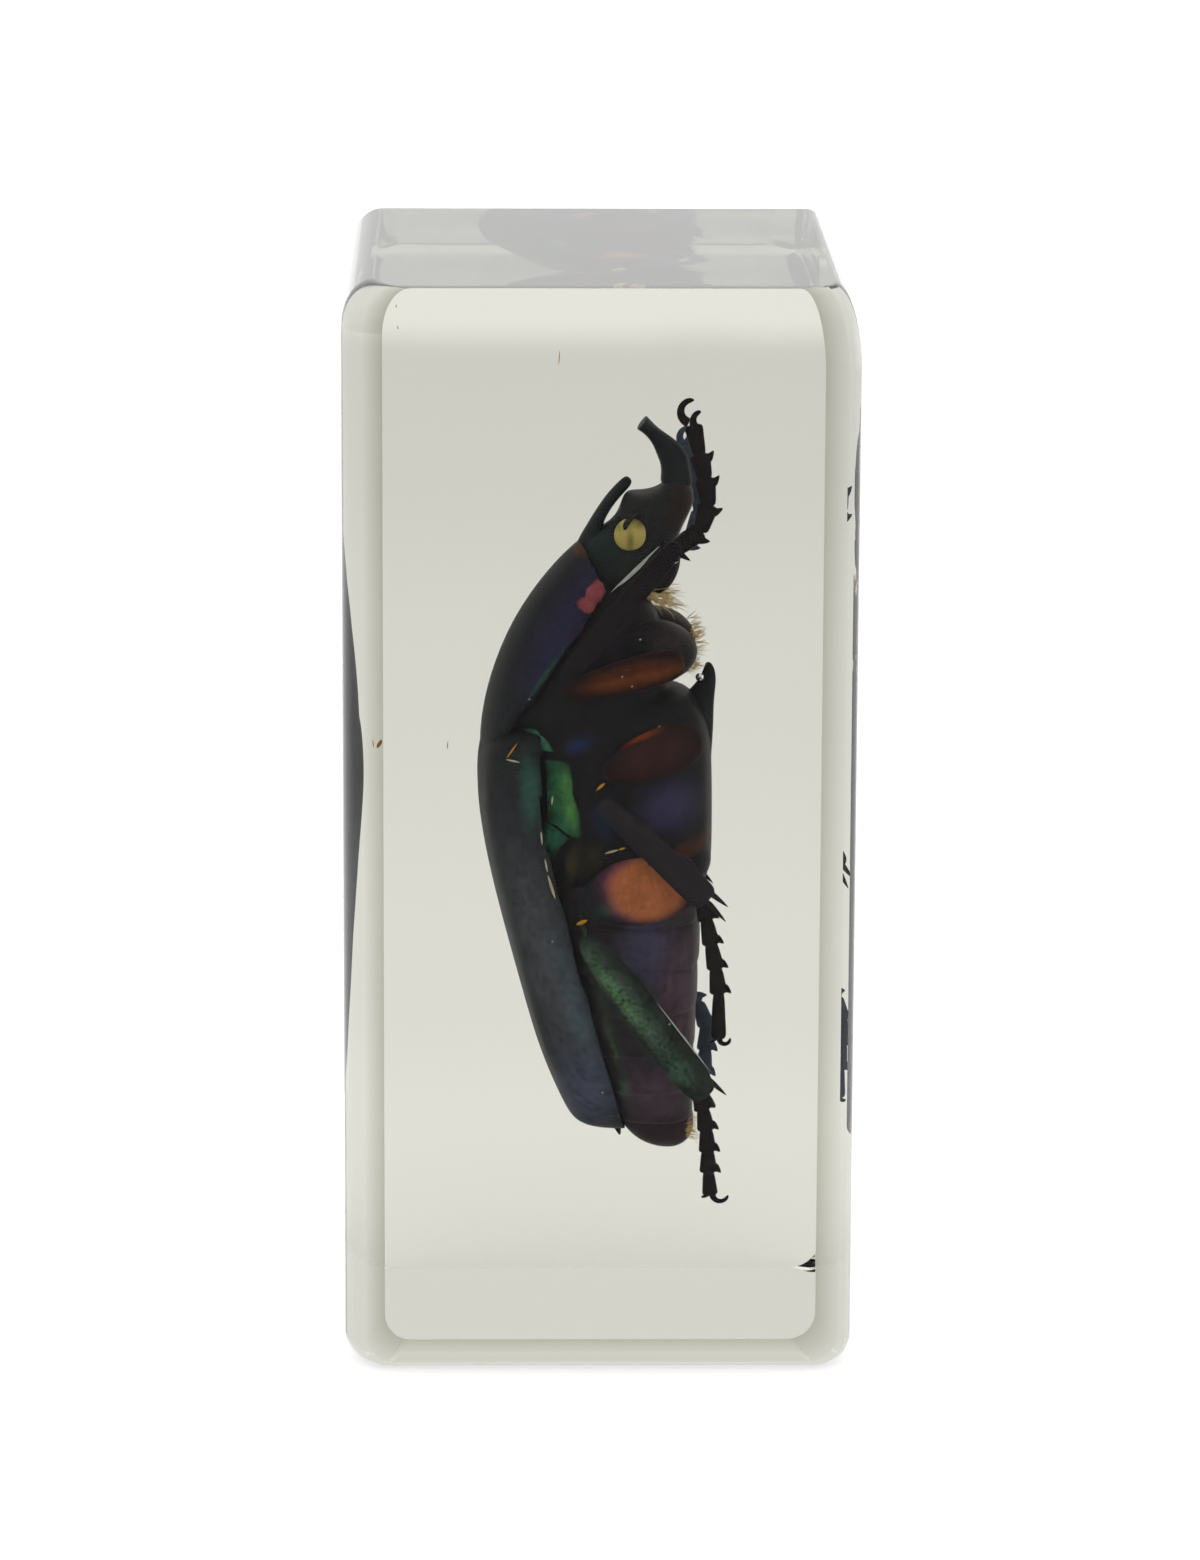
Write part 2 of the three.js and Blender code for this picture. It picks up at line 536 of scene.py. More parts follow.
# --------------------
# The abdomen. Six overlapping belts of purple-brown chitin, joined by soft membrane, narrow to the tail. A
# rounded tail plate closes them at the end.
ABDOMEN_LINE = [
    # z, x, half depth, half width
    (24.8, 1.0, 4.6, 6.3), (21.0, 1.3, 4.15, 6.3), (18.0, 1.6, 3.7, 6.0), (15.0, 2.1, 3.05, 5.4),
    (12.8, 2.6, 2.5, 4.6), (11.4, 2.95, 2.1, 3.8), (10.4, 3.3, 1.6, 2.7),
]
BELT_ENDS = [24.6, 21.9, 19.5, 17.2, 15.0, 12.9, 11.2]


def abdomen_at(height):
    """The abdomen's middle and half sizes at a height, between the measured places."""
    for (upper, *above), (lower, *below) in zip(ABDOMEN_LINE, ABDOMEN_LINE[1:]):
        if height >= lower:
            break
    share = (upper - height) / (upper - lower)
    return [a + (b - a) * share for a, b in zip(above, below)]


abdomen_chitin = chitin(
    "abdomen chitin, purple-brown", "#352f35",
    [
        (2.6, 20.6, 1.6, 2.6, -10, "#4a4662", 0.9), (4.2, 18.4, 1.5, 3.6, 0, "#523f4c", 0.9),
        (0.2, 18.0, 0.42, 4.6, -16, "#454c44", 0.9), (-0.7, 21.8, 0.13, 1.1, -16, "#506a40", 0.9),
        (0.75, 15.8, 0.13, 1.4, -16, "#4c6042", 0.9), (1.45, 13.2, 0.4, 0.7, -16, "#3f6252", 0.8),
        (3.3, 13.2, 2.0, 1.8, 0, "#50404c", 0.9),
    ],
    grain_mm=0.2, mottle=0.45,
)
for number, (top, bottom) in enumerate(zip(BELT_ENDS, BELT_ENDS[1:]), start=1):
    rings = []
    for height, fit in (
        (top + 0.5, 0.95), (top - 0.1, 0.985), (bottom + 0.3, 1.0), (bottom, 0.985), (bottom, 0.9),
    ):
        x, deep, wide = abdomen_at(height)
        rings.append((x, height, deep * fit, wide * fit))
    settle(body_piece(f"abdomen_belt_{number}", rings, fullness=1.05), abdomen_chitin)

TAIL_RINGS = [
    (2.9, 12.0, 2.0, 3.8), (3.1, 11.2, 2.0, 3.4), (3.35, 10.4, 1.75, 2.7), (3.55, 9.85, 1.25, 1.9),
    (3.7, 9.55, 0.6, 0.9), (3.75, 9.48, 0.2, 0.3),
]
tail = body_piece("tail_plate", TAIL_RINGS, fullness=1.04)
settle(tail, chitin("tail plate chitin", "#33262e", grain_mm=0.25, rough_mm=0.01))

# --------------------
# The wing cases. Two stiff domed shells, hinged at the shoulders and closed along the middle of the back, black
# in front and blue-grey towards the tail. Each has a swollen shoulder, a low rib and a spine at its tip.
WING_CASE_RINGS = [
    (-3.0, 32.4, 2.1, 4.6), (-2.95, 31.9, 2.85, 6.0), (-2.85, 30.7, 3.32, 6.8), (-2.7, 29.2, 3.52, 7.2),
    (-2.55, 27.6, 3.58, 7.4), (-2.15, 24.8, 3.52, 7.4), (-1.4, 21.4, 3.42, 7.15), (-0.6, 18.0, 3.28, 6.65),
    (0.1, 15.2, 3.2, 5.9), (0.65, 13.3, 3.0, 5.0), (0.95, 12.2, 2.8, 4.1), (1.15, 11.4, 2.6, 3.2),
    (1.25, 10.85, 2.25, 2.3), (1.3, 10.6, 1.5, 1.3), (1.3, 10.55, 0.6, 0.6),
]
SHOULDER_END = 27.4
UPPER_MARGIN = ((-3.0, 0, 29.0), (1, 0, 0))
LOWER_MARGIN = ((-2.95, 0, 27.4), (16.2, 0, 4.2))
WING_CASE_WALL = 0.4
wing_chitin = chitin(
    "wing case chitin, black to blue-grey", "#26292c",
    [
        (-3.5, 29.4, 0.7, 1.9, -6, "#33574f", 0.9), (-2.4, 20.0, 1.6, 8.0, -15, "#4a4d54", 0.9),
        (-0.9, 17.0, 0.6, 5.0, -16, "#4c5962", 0.9), (-0.6, 13.2, 1.8, 2.6, -16, "#4d5067", 0.9),
        # The last patch, a teal-grey band on the back's outline, is painted sheen: the gloss that the curved back
        # catches at its rim.
        (-5.0, 22.0, 0.5, 6.0, -14, "#3d4a4e", 0.9),
    ],
    grain_mm=0.18, mottle=0.4,
)
case_form = grow("wing_case_form", body_rings(WING_CASE_RINGS), sides=32, fullness=1.03)
bpy.ops.object.mode_set(mode="EDIT")
for side in (-1, 1):
    # The shoulders swell, and a low rib runs back from each.
    select_where(case_form, lambda p: p.y * side > 4.2 and abs(p.z - 28.6) < 1.7 and p.x < -3.6)
    bpy.ops.transform.translate(
        value=(-0.15 * MM, side * 0.12 * MM, 0), use_proportional_edit=True,
        proportional_edit_falloff="SMOOTH", proportional_size=2.0 * MM,
    )
    select_where(case_form, lambda p: 3.1 < p.y * side < 3.9 and 13 < p.z < 28 and p.x < 0)
    bpy.ops.transform.translate(
        value=(-0.12 * MM, 0, 0), use_proportional_edit=True, proportional_edit_falloff="SHARP",
        proportional_size=0.9 * MM,
    )
bpy.ops.object.mode_set(mode="OBJECT")
smooth(case_form)
for side, away in (("right", 1), ("left", -1)):
    case = copy_of(case_form, f"wing_case_{side}")
    open_mesh(case)
    trim([((0, -away * 0.03, 0), (0, away, 0))])
    # The lower edge runs straight down the shoulder, then slants back to the tip.
    bpy.ops.mesh.bisect(plane_co=(0, 0, SHOULDER_END * MM), plane_no=(0, 0, 1))
    for margin, above in ((UPPER_MARGIN, 1), (LOWER_MARGIN, -1)):
        select_where(case, lambda p: (p.z - SHOULDER_END) * above > -0.001)
        slope = Vector(margin[1]).normalized()
        bpy.ops.mesh.bisect(plane_co=Vector(margin[0]) * MM, plane_no=slope, clear_outer=True)
    bpy.ops.mesh.select_all(action="SELECT")
    bpy.ops.mesh.remove_doubles(threshold=0.0005 * MM)
    bpy.ops.object.mode_set(mode="OBJECT")
    thicken(case, WING_CASE_WALL, outwards=False)
    spine = grow("tip", [(0.95, -away * 0.6, 10.9, 0.34, 0.3, 0), (1.15, -away * 0.5, 10.5, 0.2, 0.2, 0),
                         (1.25, -away * 0.45, 10.1, 0.04, 0.04, 0)], sides=8)
    settle(join(f"wing_case_{side}", [case, smooth(spine, 1)]), wing_chitin)
bpy.data.objects.remove(case_form)

# --------------------
# The scutellum. A small three-cornered plate between the wing cases, just behind the neck shield.
SCUTELLUM_RINGS = [
    (-5.6, 31.6, 0.3, 2.0), (-5.85, 31.0, 0.28, 1.8), (-5.98, 29.8, 0.24, 1.1), (-5.98, 28.6, 0.18, 0.5),
    (-5.95, 28.0, 0.1, 0.12),
]
scutellum = body_piece("scutellum", SCUTELLUM_RINGS, sides=16)
settle(scutellum, chitin("scutellum chitin", "#22252b"))

# --------------------
# The fore thorax and its neck shield. The thorax carries the front legs. The shield is one domed plate over it,
# dark blue to purple, with an eased rim, and a red patch, its own red painted brighter into a highlight, and a
# fine green line low on each side.
FORE_THORAX_RINGS = [
    (-0.9, 31.3, 4.7, 6.2, 4), (-0.75, 33.2, 4.75, 6.3, 11), (-0.2, 35.7, 4.2, 5.6, 21),
    (0.65, 38.1, 3.2, 4.5, 31), (1.35, 39.8, 2.3, 3.2, 40),
]
SHIELD_RINGS = [
    (-1.2, 29.9, 4.75, 6.9, 2), (-1.15, 30.5, 4.95, 7.1, 3), (-1.05, 31.6, 5.05, 7.05, 6),
    (-0.8, 33.4, 4.95, 6.85, 12), (-0.3, 35.9, 4.45, 6.2, 21), (0.5, 38.4, 3.5, 5.1, 31),
    (1.05, 39.75, 2.8, 4.0, 39), (1.45, 40.4, 2.5, 3.2, 43),
]
SHIELD_CUTS = [
    ((-1.86, 0, 36.4), (5.8, 0, -4.1)), ((-1.6, 0, 30.6), (0.09, 0, -1)), ((-0.8, 0, 41.45), (0.86, 0, 0.51)),
]
SHIELD_WALL = 0.35
shield_chitin = chitin(
    "neck shield chitin, blue-purple", "#222428",
    [
        (-1.7, 37.8, 1.3, 4.2, 32, "#2c2942", 0.9), (-2.3, 36.2, 0.6, 3.0, 36, "#2a2a44", 0.9),
        # The red patches are the shield's own red, painted brighter into a highlight where it catches the light.
        (-0.1, 39.45, 0.4, 0.95, 33, "#96494f", 0.3), (-0.5, 38.8, 0.64, 0.46, 8, "#96494f", 0.3),
        (-0.4, 39.25, 0.34, 0.5, 33, "#96494f", 0.3),
        (0.2, 40.5, 0.5, 0.6, 30, "#3a2a48", 0.7), (-0.75, 37.65, 0.16, 1.1, 38, "#6a3058", 0.9),
        (-2.6, 35.4, 0.13, 1.7, 36, "#2f5648", 0.9), (-0.9, 41.3, 0.5, 0.35, 0, "#4a2a20", 0.8),
    ],
    grain_mm=0.13, drift_mm=0.15,
)
fore_thorax = body_piece("fore_thorax", FORE_THORAX_RINGS, fullness=1.04)
fore_patches = [(2.0, 36.8, 2.0, 1.2, 0, "#2a202c", 0.9)]
settle(fore_thorax, chitin("fore thorax chitin", "#1f1d20", fore_patches, rough_mm=0.001, mottle=0.4))
shield_form = body_piece("shield_form", SHIELD_RINGS, sides=32, fullness=1.02)
settle(cut_out(shield_form, "neck_shield", SHIELD_CUTS, SHIELD_WALL, outwards=False), shield_chitin)
bpy.data.objects.remove(shield_form)

# --------------------
# The head. A small flattened box that hangs down and forward, with a mouth hidden under it. The face runs out
# into an upturned horn with a flared, square-cut end, and a tongue-shaped horn stands on the crown.
HEAD_RINGS = [
    (0.5, 38.9, 2.3, 2.6, 34), (0.9, 39.9, 2.35, 2.8, 34), (1.5, 40.9, 2.22, 2.9, 32),
    (2.2, 41.75, 1.8, 2.9, 26), (2.63, 42.62, 1.66, 2.8, 20), (2.9, 43.45, 1.78, 2.55, 24),
    (3.3, 43.66, 1.52, 2.4, 17), (3.85, 43.95, 1.1, 2.2, 14), (4.05, 44.45, 0.8, 1.8, 8), (4.0, 44.8, 0.4, 1.2, 5),
]
FACE_HORN_RINGS = [
    (4.0, 44.3, 0.95, 1.60, 6), (3.98, 45.0, 0.78, 1.20, 2), (3.92, 45.6, 0.76, 1.00, -4),
    (3.74, 46.1, 0.76, 0.90, -14), (3.42, 46.48, 0.6, 0.85, -34), (3.08, 46.86, 0.44, 0.85, -42),
    (2.73, 47.2, 0.36, 0.95, -46), (2.42, 47.5, 0.38, 1.15, -50), (2.22, 47.66, 0.42, 1.32, -52), (2.2, 47.68, 0.41, 1.30, -52),
]
CROWN_HORN_RINGS = [
    (-0.35, 40.6, 1.0, 1.5, 20), (-0.38, 41.4, 0.72, 1.35, 20), (-0.26, 42.1, 0.44, 1.15, 26),
    (0.04, 42.85, 0.32, 0.95, 33), (0.62, 43.75, 0.31, 0.80, 38), (1.15, 44.32, 0.31, 0.68, 40),
    (1.48, 44.66, 0.29, 0.55, 42), (1.6, 44.82, 0.16, 0.34, 42),
]
head_chitin = chitin(
    "head chitin, brown-black", "#2b2b2d",
    [(4.3, 43.6, 0.9, 1.4, 30, "#322623", 0.9), (0.2, 41.6, 1.2, 1.2, 0, "#243030", 0.9)],
    grain_mm=0.2, rough_mm=0.01,
)
horn_chitin = chitin("horn chitin, grey-black", "#272c2e", grain_mm=0.16)
settle(body_piece("head", HEAD_RINGS, fullness=1.05), head_chitin)
settle(body_piece("face_horn", FACE_HORN_RINGS, sides=16, fullness=1.08), horn_chitin)
settle(body_piece("crown_horn", CROWN_HORN_RINGS, sides=16), horn_chitin)

# --------------------
# The eyes. Each is a bead of thousands of tiny lenses, dried to a milky yellow, with a dark brow that cuts
# into its upper edge.
EYE_PLACE = (1.62, 2.6, 42.15)
EYE_RADIUS = 0.87
EYE_LENS = 0.07
EYE_STREAKS = [
    # x, z, half sizes, turn and colour
    (1.6, 41.85, 0.18, 0.5, 0, "#77703f"), (2.15, 42.85, 0.4, 0.3, 0, "#2c2a20"),
    (1.0, 42.65, 0.2, 0.3, 0, "#8a8450"), (1.6, 41.3, 0.8, 0.1, 0, "#77703f"),
]


def milky_eye():
    """A dried compound eye: milky yellow, with a net of lenses and darker streaks where it has gone clear."""
    material, tree, place = new_material("compound eye, dried milky")
    lenses = add_node(tree, "TexVoronoi", {"Vector": place, "Scale": 1.0 / (EYE_LENS * MM)})
    colour = hex_to_linear("#cbb96a")
    for streak in EYE_STREAKS:
        colour = add_patch(tree, place, colour, streak, 0.0, 1.7, strength=0.75)
    bump = add_node(tree, "Bump", {"Height": lenses.outputs["Distance"], "Distance": 0.01 * MM})
    shader = add_node(tree, "BsdfPrincipled", {
        "Base Color": colour, "Normal": bump.outputs["Normal"], "Roughness": 0.35, "IOR": 1.12,
    })
    add_node(tree, "OutputMaterial", {"Surface": shader.outputs["BSDF"]})
    return material


eye_finish = milky_eye()
for side, sign in (("right", -1), ("left", 1)):
    bpy.ops.object.select_all(action="DESELECT")
    x, y, z = EYE_PLACE
    bpy.ops.mesh.primitive_uv_sphere_add(segments=48, ring_count=24, radius=EYE_RADIUS * MM,
                                         location=Vector((x, sign * y, z)) * MM)
    eye = bpy.context.object
    eye.name = f"eye_{side}"
    eye.scale = (0.97, 0.62, 1.0)
    bpy.ops.object.transform_apply()
    bpy.ops.object.shade_smooth()
    settle(eye, eye_finish)
    brow_rings = [(1.95, sign * 2.2, 43.3, 0.45, 0.5, -20), (1.55, sign * 2.9, 43.0, 0.32, 0.34, -20),
                  (1.38, sign * 3.12, 42.76, 0.22, 0.2, -20), (1.33, sign * 3.2, 42.45, 0.06, 0.1, -20)]
    settle(smooth(grow(f"eye_brow_{side}", brow_rings, sides=8)), head_chitin)

# --------------------
# The mouthparts and feelers. A rounded chin plate and two jaws fold under the head, and each short feeler
# lies back beside them, with a club of three leaves.
mouth_chitin = chitin("mouthpart chitin, dark brown", "#221d20", grain_mm=0.2)
CHIN_RINGS = [
    (3.55, 41.7, 0.6, 1.1, 10), (3.6, 40.8, 0.72, 1.35, 14), (3.4, 39.95, 0.72, 1.3, 18),
    (3.1, 39.25, 0.58, 1.0, 22), (2.8, 38.85, 0.28, 0.5, 24),
]
settle(body_piece("chin_plate", CHIN_RINGS, sides=16), mouth_chitin)


def limb(name, start, end, sections, facing=(0, -1, 0), sides=12, levels=2):
    """One stiff joint from start to end. A section is its share of the length, half width and half thickness,
    and the thin way faces the direction given."""
    start, end = Vector(start), Vector(end)
    length = (end - start).length
    rings = [(0, 0, share * length, wide, thick, 0) for share, wide, thick in sections]
    piece = grow(name, rings, sides=sides)
    along = (end - start).normalized()
    across = Vector(facing).cross(along).normalized()
    through = along.cross(across)
    piece.rotation_euler = Matrix((across, through, along)).transposed().to_euler()
    piece.location = start * MM
    smooth(piece, levels)
    bpy.ops.object.transform_apply()
    return piece


def mirrored(piece, name):
    """The same piece for the beetle's other side."""
    twin = copy_of(piece, name)
    pick(twin)
    twin.scale = (1, -1, 1)
    bpy.ops.object.transform_apply()
    open_mesh(twin)
    bpy.ops.mesh.normals_make_consistent()
    bpy.ops.object.mode_set(mode="OBJECT")
    return twin


def settle_pair(right, material):
    """Fixes a right-hand piece in the block, and its mirror image on the beetle's other side."""
    settle(mirrored(right, right.name.replace("right", "left")), material)
    settle(right, material)


LOBE = [(0, 0.25, 0.2), (0.25, 0.5, 0.32), (0.7, 0.48, 0.32), (1.0, 0.12, 0.1)]
STALK = [(0, 0.16, 0.16), (0.8, 0.2, 0.2), (1, 0.1, 0.1)]
CLUB_LEAF = [(0, 0.12, 0.05), (0.3, 0.32, 0.09), (0.8, 0.34, 0.09), (1.0, 0.1, 0.04)]
jaw = limb("jaw_right", (3.9, -1.0, 41.4), (3.0, -1.5, 38.9), LOBE)
stalk = limb("stalk", (3.2, -2.3, 42.2), (3.3, -2.6, 41.0), STALK, sides=8)
leaves = [
    limb(f"leaf_{n}", (3.3, -2.5 - 0.17 * n, 41.0), (2.9, -2.4 - 0.17 * n, 39.4), CLUB_LEAF, sides=8)
    for n in range(3)
]
feeler = join("feeler_right", [stalk] + leaves)
settle_pair(jaw, mouth_chitin)
settle_pair(feeler, mouth_chitin)

# --------------------
# The legs. Each has a hip set in the body, a stout thigh, a flat shin with spurs at its end, a foot of five
# flared joints and a pair of hooked claws. They are folded along the flanks, and dried a little unevenly.
FRONT_HIP = [(0, 1.2, 1.7), (0.1, 1.6, 2.25), (0.5, 1.72, 2.35), (0.85, 1.5, 2.1), (1.0, 0.9, 1.4)]
REAR_HIP = [(0, 0.8, 0.75), (0.2, 1.15, 1.05), (0.6, 1.25, 1.05), (0.9, 0.95, 0.8), (1.0, 0.4, 0.4)]
FRONT_THIGH = [(0, 0.5, 0.35), (0.1, 0.92, 0.6), (0.5, 0.98, 0.62), (0.85, 0.66, 0.45), (1.0, 0.3, 0.25)]
MIDDLE_THIGH = [(0, 0.6, 0.4), (0.1, 1.2, 0.65), (0.45, 1.42, 0.7), (0.8, 1.05, 0.5), (1.0, 0.35, 0.25)]
HIND_THIGH = [(0, 0.9, 0.5), (0.12, 1.6, 0.72), (0.45, 2.05, 0.8), (0.78, 1.6, 0.6), (1.0, 0.5, 0.3)]
FRONT_SHIN = [
    (0, 0.3, 0.25), (0.08, 0.5, 0.32), (0.45, 0.6, 0.34), (0.8, 0.56, 0.32), (0.97, 0.5, 0.28),
    (1.0, 0.25, 0.16),
]
MIDDLE_SHIN = [
    (0, 0.35, 0.28), (0.08, 0.6, 0.36), (0.45, 0.7, 0.38), (0.85, 0.82, 0.36), (0.98, 0.82, 0.3),
    (1.0, 0.4, 0.2),
]
HIND_SHIN = [
    (0, 0.35, 0.28), (0.07, 0.72, 0.38), (0.35, 1.08, 0.42), (0.75, 1.1, 0.42), (0.98, 0.85, 0.32),
    (1.0, 0.4, 0.2),
]
FOOT_JOINT = [(-0.1, 0.6, 0.6), (0.1, 0.78, 0.8), (0.7, 0.9, 0.92), (0.93, 1.05, 0.95), (1.02, 0.7, 0.6)]
LEG_FACING = (0, -1, 0)


def spike(start, end, thickness):
    """A stiff spine that tapers to a point."""
    shares = [(0, 1.0), (0.4, 0.8), (0.8, 0.4), (1.0, 0.05)]
    sections = [(share, width * thickness, width * thickness) for share, width in shares]
    return limb("spike", start, end, sections, sides=8, levels=1)


def claw(start, heading, thickness, radius, sweep, steps=9, sides=8):
    """A tapering hook in an upright plane. It sets off at the heading, in degrees from up towards +X, and
    curls that way as far as the sweep. A minus radius and sweep curl it the other way."""
    turn_each = math.radians(sweep) / steps
    bpy.ops.object.select_all(action="DESELECT")
    bpy.ops.mesh.primitive_circle_add(vertices=sides, radius=thickness * MM, fill_type="NGON")
    hook = bpy.context.object
    open_mesh(hook)
    pivot = Vector((radius * MM, 0, 0))
    for step in range(1, steps + 1):
        bpy.ops.mesh.extrude_region_move()
        bpy.ops.transform.rotate(value=-turn_each, orient_axis="Y", center_override=pivot)
        turned_so_far = turn_each * step
        tip = pivot + Vector((-math.cos(turned_so_far), 0, math.sin(turned_so_far))) * radius * MM
        shrink = 0.92 if step < steps else 0.3
        bpy.ops.transform.resize(value=(shrink,) * 3, center_override=tip)
    bpy.ops.object.mode_set(mode="OBJECT")
    hook.rotation_euler = (0, math.radians(heading), 0)
    hook.location = Vector(start) * MM
    smooth(hook, 1)
    bpy.ops.object.transform_apply()
    return hook


def foot(name, path, half_width, teeth, claws):
    """Five flared joints along the path. teeth is +1 or -1, the side whose corners run out into spines."""
    parts = []
    joints = list(zip(path, path[1:]))
    for number, (start, end) in enumerate(joints):
        last = number == len(joints) - 1
        width = half_width * (0.88 if last else 1.0)
        sections = [(share, wide * width, thick * width * 0.75) for share, wide, thick in FOOT_JOINT]
        parts.append(limb("joint", start, end, sections, sides=10, levels=1))
        if last:
            continue
        end, along = Vector(end), (Vector(end) - Vector(start)).normalized()
        outwards = Vector(LEG_FACING).cross(along).normalized() * teeth * half_width
        parts.append(spike(end - along * 0.4 + outwards * 0.55, end + along * 0.04 + outwards * 1.3, 0.26))
    for start, heading, thickness, radius, sweep in claws:
        parts.append(claw(start, heading, thickness, radius, sweep))
    return join(name, parts)


def shin(name, start, end, sections, spurs, teeth):
    """A flat shin. Each spur and tooth is its start and end."""
    parts = [limb(name, start, end, sections)]
    parts += [spike(a, b, 0.2) for a, b in spurs]
    parts += [spike(a, b, 0.22) for a, b in teeth]
    return join(name, parts)


LEGS = {
    "front": {
        "hip": ((2.9, -0.6, 36.0), (2.7, -5.3, 36.3), FRONT_HIP),
        "thigh": ((4.35, -4.9, 35.9), (-1.9, -7.4, 34.5), FRONT_THIGH),
        "shin": ((-1.9, -7.7, 35.2), (4.0, -6.8, 42.2), FRONT_SHIN),
        "spurs": [((4.0, -6.6, 41.7), (4.6, -6.6, 41.3))],
        "teeth": [],
        "foot": [(3.7, -6.6, 41.8), (5.12, -6.4, 42.85), (5.5, -6.3, 44.15), (5.3, -6.2, 45.5),
                 (5.02, -6.1, 46.7), (4.7, -6.0, 48.2)],
        "foot_width": 0.58, "foot_teeth": -1,
        "claws": [((4.5, -6.0, 48.3), -75, 0.3, 0.6, 175), ((4.8, -6.2, 48.1), -40, 0.26, 0.5, 120)],
    },
    "middle": {
        "hip": ((4.4, -0.7, 31.2), (4.0, -5.0, 31.6), REAR_HIP),
        "thigh": ((5.2, -4.6, 31.9), (0.2, -7.5, 30.3), MIDDLE_THIGH),
        "shin": ((0.1, -8.1, 29.0), (5.6, -7.2, 23.7), MIDDLE_SHIN),
        "spurs": [((5.6, -7.1, 24.2), (6.65, -7.1, 23.35)), ((5.5, -7.0, 23.7), (6.55, -7.0, 22.55))],
        "teeth": [((2.9, -7.6, 26.1), (2.5, -7.7, 25.6))],
        "foot": [(5.3, -6.9, 23.6), (5.55, -6.8, 22.6), (5.8, -6.7, 21.3), (6.05, -6.6, 20.0),
                 (6.2, -6.6, 18.7), (6.2, -6.5, 16.3)],
        "foot_width": 0.5, "foot_teeth": 1,
        "claws": [((6.25, -6.5, 16.3), 180, 0.18, -0.28, -190), ((6.05, -6.4, 16.3), 205, 0.12, 0.35, 60)],
    },
    "hind": {
        "hip": ((5.05, -0.8, 25.3), (4.4, -5.0, 24.8), REAR_HIP),
        "thigh": ((5.2, -5.2, 24.6), (-1.0, -7.3, 23.6), HIND_THIGH),
        "shin": ((-0.8, -7.7, 21.9), (5.6, -7.0, 13.3), HIND_SHIN),
        "spurs": [((5.6, -6.9, 14.3), (6.65, -6.9, 13.35)), ((5.5, -6.8, 13.5), (6.1, -6.8, 12.75))],
        "teeth": [((2.7, -7.4, 16.4), (2.5, -7.5, 15.9))],
        "foot": [(5.2, -6.6, 13.4), (5.45, -6.5, 12.5), (5.62, -6.4, 11.4), (5.7, -6.4, 10.25),
                 (5.75, -6.4, 9.15), (5.85, -6.4, 7.95)],
        "foot_width": 0.5, "foot_teeth": 1,
        "claws": [((5.95, -6.4, 8.0), 176, 0.2, -0.42, -165), ((5.75, -6.3, 8.0), 215, 0.14, 0.4, 60)],
    },
}
# The far legs dried in a slightly different pose: only the joints that differ are given.
LEGS_LEFT = {
    "front": {
        "shin": ((-1.8, 7.6, 34.6), (3.8, 6.6, 40.3), FRONT_SHIN),
        "spurs": [((3.8, 6.4, 39.9), (4.7, 6.4, 40.0))], "teeth": [((3.3, 6.6, 40.3), (3.4, 6.6, 41.0))],
        "foot": [(3.6, 6.4, 40.0), (4.9, 6.2, 41.0), (5.4, 6.0, 42.3), (5.35, 5.9, 43.5), (5.05, 5.7, 44.7),
                 (4.7, 5.6, 45.9)],
        "claws": [((4.5, 5.5, 45.9), -60, 0.28, 0.5, 150), ((4.7, 5.6, 45.8), -30, 0.2, 0.5, 110)],
    },
    "middle": {
        "shin": ((0.0, 7.6, 28.6), (5.3, 6.8, 23.0), MIDDLE_SHIN),
        "spurs": [((5.3, 6.7, 23.4), (6.2, 6.7, 22.5)), ((5.2, 6.6, 23.0), (5.9, 6.6, 22.0))],
        "teeth": [((2.7, 7.2, 25.6), (2.3, 7.3, 25.1))],
        "foot": [(5.0, 6.6, 22.9), (4.5, 6.4, 21.9), (4.1, 6.3, 20.8), (3.9, 6.2, 19.7), (3.8, 6.2, 18.5),
                 (3.7, 6.1, 16.9)],
        "claws": [((3.8, 6.1, 17.0), 172, 0.19, -0.3, -190), ((3.6, 6.1, 16.9), 205, 0.12, 0.35, 60)],
    },
    "hind": {
        "shin": ((-1.1, 7.6, 23.4), (4.2, 6.6, 17.2), HIND_SHIN),
        "spurs": [((4.2, 6.5, 18.0), (4.9, 6.5, 17.2)), ((4.1, 6.4, 17.3), (4.7, 6.4, 16.6))],
        "teeth": [((1.8, 7.2, 19.7), (1.5, 7.3, 19.2))],
        "foot": [(4.1, 6.2, 17.2), (5.45, 6.1, 16.1), (5.85, 6.0, 14.9), (5.8, 5.9, 13.6), (5.7, 5.8, 12.3),
                 (5.65, 5.8, 10.8)],
        "claws": [((5.65, 5.8, 10.9), 172, 0.17, -0.32, -110), ((5.6, 5.8, 10.9), 205, 0.12, 0.35, 60)],
    },
}
hip_chitin = chitin(
    "hip chitin, purple-black", "#1f1d20",
    [(3.9, 31.5, 2.6, 1.6, 0, "#2c1d1c", 0.9), (3.9, 37.0, 1.5, 1.2, 20, "#373032", 0.95)],
    grain_mm=0.2, mottle=0.5,
)
